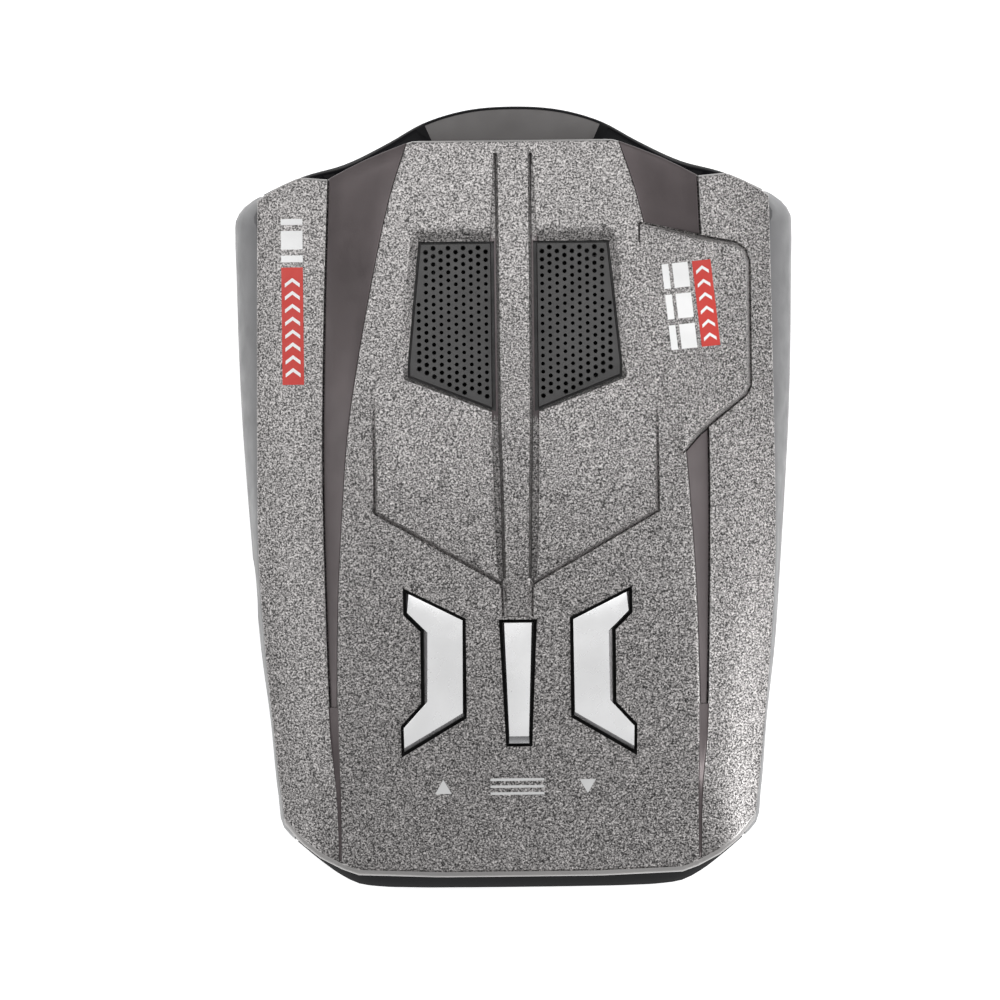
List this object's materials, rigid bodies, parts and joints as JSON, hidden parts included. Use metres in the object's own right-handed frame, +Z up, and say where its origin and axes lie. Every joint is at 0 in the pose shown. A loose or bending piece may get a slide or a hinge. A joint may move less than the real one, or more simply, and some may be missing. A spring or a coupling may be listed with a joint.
{
  "type": "radar detector",
  "caption": "Compact dashboard radar detector with a silver ribbed cover, twin speaker grilles, press buttons, smoked front lens and rear display window.",
  "frame": {"origin": "centre of the bounding box in plan, on the surface that the rubber feet stand on", "axes": "+Y towards the front lens, +Z up, +X towards the side with the raised pod"},
  "size_m": [0.0748, 0.1051, 0.03],
  "materials": {
    "textured_silver": "fine-grained metallic silver paint on plastic, satin",
    "smooth_grey": "smooth silver-grey plastic, semi-gloss",
    "smoked_lens": "deep black smoked acrylic, high gloss",
    "smoked_window": "deep black smoked acrylic, high gloss",
    "grille_dark": "dark grey perforated plastic, satin",
    "inlay_dark": "smooth dark metallic grey, semi-gloss",
    "button_bright": "bright satin metal plating",
    "foot_rubber": "matte black rubber",
    "label_film": "blank silver label film, satin",
    "screw_steel": "zinc-plated steel",
    "board_green": "green solder mask, satin",
    "tinplate": "bright tinned sheet",
    "capacitor_can": "bright aluminium can",
    "cast_zinc": "as-cast grey metal",
    "black_plastic": "black moulded plastic",
    "red_filter": "clear dark red acrylic",
    "white_plastic": "white moulded plastic",
    "speaker_steel": "pressed steel",
    "foam": "black foam",
    "surround_rubber": "black rubber",
    "paper_cone": "dark pressed paper",
    "wire_red": "red wire insulation",
    "wire_black": "black wire insulation",
    "contact_brass": "bright brass"
  },
  "bodies": {
    "case": {"top_shell": "textured_silver", "bottom_shell": "smooth_grey", "front_lens": "smoked_lens", "display_window": "smoked_window", "grille_left": "grille_dark", "grille_right": "grille_dark", "inlay_left": "inlay_dark", "inlay_right_front": "inlay_dark", "inlay_right_rear": "inlay_dark", "rubber_foot_front_left": "foot_rubber", "rubber_foot_front_right": "foot_rubber", "rubber_foot_rear_left": "foot_rubber", "rubber_foot_rear_right": "foot_rubber", "rating_label": "label_film", "case_screw_front_left": "screw_steel", "case_screw_front_right": "screw_steel", "case_screw_rear_left": "screw_steel", "case_screw_rear_right": "screw_steel", "board_screw_front_left": "screw_steel", "board_screw_front_right": "screw_steel", "board_screw_rear_left": "screw_steel", "board_screw_rear_right": "screw_steel", "main_board": "board_green", "display_board": "board_green", "rf_board": "board_green", "rf_shield": "tinplate", "horn_antenna": "cast_zinc", "laser_holder": "black_plastic", "laser_lens": "red_filter", "laser_sensor": "black_plastic", "led_display": "black_plastic", "display_header": "black_plastic", "processor_chip": "black_plastic", "voice_chip": "black_plastic", "voltage_regulator": "black_plastic", "crystal": "tinplate", "inductor": "black_plastic", "capacitor_1": "capacitor_can", "capacitor_2": "capacitor_can", "speaker_connector": "white_plastic", "switch_up": "black_plastic", "switch_menu": "black_plastic", "switch_down": "black_plastic", "speaker_frame": "speaker_steel", "speaker_magnet": "speaker_steel", "speaker_gasket": "foam", "speaker_surround": "surround_rubber", "speaker_screw_left": "screw_steel", "speaker_screw_right": "screw_steel", "speaker_wire_red": "wire_red", "speaker_wire_black": "wire_black", "dc_socket": "black_plastic", "dc_socket_pin": "contact_brass"},
    "button_up": {"button_up": "button_bright"},
    "plunger_up": {"plunger_up": "white_plastic"},
    "button_menu": {"button_menu": "button_bright"},
    "plunger_menu": {"plunger_menu": "white_plastic"},
    "button_down": {"button_down": "button_bright"},
    "plunger_down": {"plunger_down": "white_plastic"},
    "speaker_cone": {"speaker_cone": "paper_cone"}
  },
  "joints": [
    {"name": "button_up_press", "type": "slide", "parent": "case", "child": "button_up", "axis": [0, 0, -1], "range_m": [0, 0.0003], "stiffness_N_per_m": 600},
    {"name": "plunger_up_press", "type": "slide", "parent": "case", "child": "plunger_up", "axis": [0, 0, -1], "range_m": [0, 0.0003]},
    {"name": "button_menu_press", "type": "slide", "parent": "case", "child": "button_menu", "axis": [0, 0, -1], "range_m": [0, 0.0003], "stiffness_N_per_m": 600},
    {"name": "plunger_menu_press", "type": "slide", "parent": "case", "child": "plunger_menu", "axis": [0, 0, -1], "range_m": [0, 0.0003]},
    {"name": "button_down_press", "type": "slide", "parent": "case", "child": "button_down", "axis": [0, 0, -1], "range_m": [0, 0.0003], "stiffness_N_per_m": 600},
    {"name": "plunger_down_press", "type": "slide", "parent": "case", "child": "plunger_down", "axis": [0, 0, -1], "range_m": [0, 0.0003]},
    {"name": "speaker_cone_travel", "type": "slide", "parent": "case", "child": "speaker_cone", "axis": [0, 0, 1], "range_m": [-0.0003, 0.0003], "stiffness_N_per_m": 600}
  ],
  "couplings": [
    {"joint": "plunger_up_press", "follows": "button_up_press", "ratio": 1},
    {"joint": "plunger_menu_press", "follows": "button_menu_press", "ratio": 1},
    {"joint": "plunger_down_press", "follows": "button_down_press", "ratio": 1}
  ]
}
